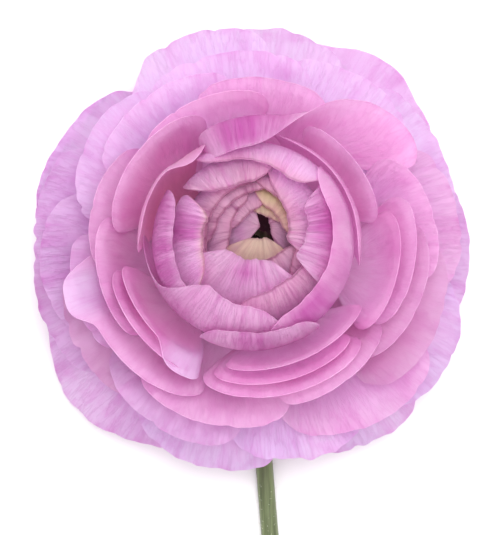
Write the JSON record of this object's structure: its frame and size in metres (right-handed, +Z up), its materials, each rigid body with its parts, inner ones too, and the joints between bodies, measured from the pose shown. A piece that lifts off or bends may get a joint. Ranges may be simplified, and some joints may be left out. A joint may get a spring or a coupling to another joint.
{
  "type": "ranunculus flower",
  "caption": "Cut ranunculus flower lying face up: rounded overlapping petals close to a tight heart, over sepals and a bare stem bent down onto the surface.",
  "frame": {"origin": "on the surface, under the middle of the flower's whole length and width", "axes": "+Z up from the surface, +Y from the cut end of the stem towards the bloom, +X to the right seen from above"},
  "size_m": [0.0922, 0.2126, 0.0567],
  "materials": {
    "petal_outer": "soft satin petal, pale lilac pink with pink veins",
    "petal_middle": "soft satin petal, pink with a paler rim",
    "petal_inner": "soft satin petal, magenta pink with pale tips",
    "petal_heart": "soft satin petal, mauve to yellow green",
    "stem_green": "matt, finely hairy",
    "sepal_green": "matt, finely hairy",
    "carpel_dark": "matt, nearly black"
  },
  "bodies": {
    "root": {"outer_petal_01": "petal_outer", "outer_petal_02": "petal_outer", "outer_petal_03": "petal_outer", "outer_petal_04": "petal_outer", "outer_petal_05": "petal_outer", "outer_petal_06": "petal_outer", "outer_petal_07": "petal_outer", "outer_petal_08": "petal_outer", "outer_petal_09": "petal_outer", "outer_petal_10": "petal_outer", "outer_petal_11": "petal_outer", "outer_petal_12": "petal_outer", "outer_petal_13": "petal_outer", "spread_petal_01": "petal_middle", "spread_petal_02": "petal_middle", "spread_petal_03": "petal_middle", "spread_petal_04": "petal_middle", "spread_petal_05": "petal_middle", "spread_petal_06": "petal_middle", "spread_petal_07": "petal_middle", "spread_petal_08": "petal_middle", "spread_petal_09": "petal_middle", "spread_petal_10": "petal_middle", "spread_petal_11": "petal_middle", "spread_petal_12": "petal_middle", "cupped_petal_01": "petal_middle", "cupped_petal_02": "petal_middle", "cupped_petal_03": "petal_middle", "cupped_petal_04": "petal_middle", "cupped_petal_05": "petal_middle", "cupped_petal_06": "petal_middle", "cupped_petal_07": "petal_middle", "cupped_petal_08": "petal_middle", "cupped_petal_09": "petal_middle", "cupped_petal_10": "petal_middle", "cupped_petal_11": "petal_middle", "cupped_petal_12": "petal_middle", "cupped_petal_13": "petal_middle", "cupped_petal_14": "petal_middle", "cupped_petal_15": "petal_middle", "cupped_petal_16": "petal_middle", "cupped_petal_17": "petal_middle", "cupped_petal_18": "petal_middle", "folded_petal_01": "petal_inner", "folded_petal_02": "petal_inner", "folded_petal_03": "petal_inner", "folded_petal_04": "petal_inner", "folded_petal_05": "petal_inner", "folded_petal_06": "petal_inner", "folded_petal_07": "petal_inner", "folded_petal_08": "petal_inner", "folded_petal_09": "petal_inner", "folded_petal_10": "petal_inner", "folded_petal_11": "petal_inner", "folded_petal_12": "petal_inner", "folded_petal_13": "petal_inner", "heart": "petal_heart", "carpels": "carpel_dark", "stem": "stem_green", "calyx": "sepal_green"}
  },
  "joints": []
}
